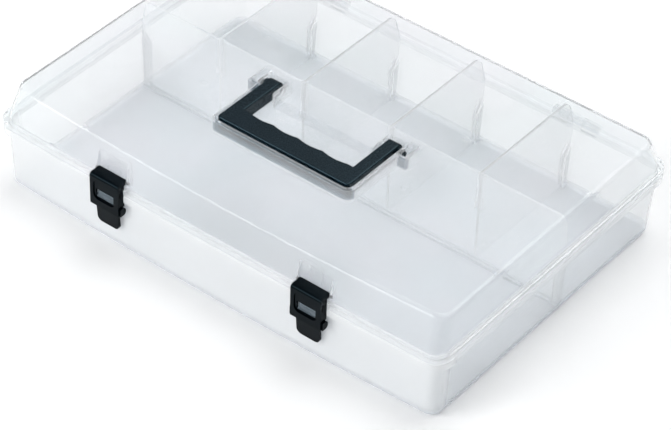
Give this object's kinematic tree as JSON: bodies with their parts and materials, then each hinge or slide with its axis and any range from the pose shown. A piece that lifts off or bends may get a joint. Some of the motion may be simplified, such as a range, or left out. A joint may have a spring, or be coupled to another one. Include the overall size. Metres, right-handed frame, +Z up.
{
  "type": "tool box",
  "caption": "Flat clear plastic tool box: drafted tray with compartments, hinged crowned lid, fold-down handle in a recess and front snap latches.",
  "frame": {"origin": "on the flat underside of the tray, midway between the ends and midway between the front and back edges of the rim", "axes": "+X along the length to the right of someone facing the latches, +Y from the latches to the hinges, +Z up"},
  "size_m": [0.38, 0.2717, 0.081],
  "materials": {
    "clear_tray": "clear, slightly frosted polypropylene",
    "clear_lid": "clear, slightly frosted polypropylene",
    "clear_divider": "clear, slightly frosted polypropylene",
    "dark_handle": "blue-black, satin, fine moulded texture",
    "dark_latch": "blue-black, satin",
    "pin_steel": "plain drawn wire"
  },
  "bodies": {
    "base": {"base_tray": "clear_tray", "long_divider": "clear_divider", "cross_divider_1": "clear_divider", "cross_divider_2": "clear_divider", "cross_divider_3": "clear_divider", "cross_divider_4": "clear_divider", "hinge_pin_left": "pin_steel", "hinge_pin_right": "pin_steel"},
    "lid": {"lid": "clear_lid"},
    "handle": {"handle": "dark_handle"},
    "latch_left": {"latch_left": "dark_latch"},
    "latch_right": {"latch_right": "dark_latch"}
  },
  "joints": [
    {"name": "lid_hinge", "type": "hinge", "parent": "base", "child": "lid", "pos_m": [0, 0.1335, 0.0505], "axis": [-1, 0, 0], "range_deg": [0, 110]},
    {"name": "handle_hinge", "type": "hinge", "parent": "lid", "child": "handle", "pos_m": [0, -0.0005, 0.07575], "axis": [-1, 0, 0], "range_deg": [0, 100]},
    {"name": "latch_left_hinge", "type": "hinge", "parent": "lid", "child": "latch_left", "pos_m": [-0.0863, -0.12539, 0.0577], "axis": [-1, 0, 0], "range_deg": [0, 90]},
    {"name": "latch_right_hinge", "type": "hinge", "parent": "lid", "child": "latch_right", "pos_m": [0.0863, -0.12539, 0.0577], "axis": [-1, 0, 0], "range_deg": [0, 90]}
  ]
}
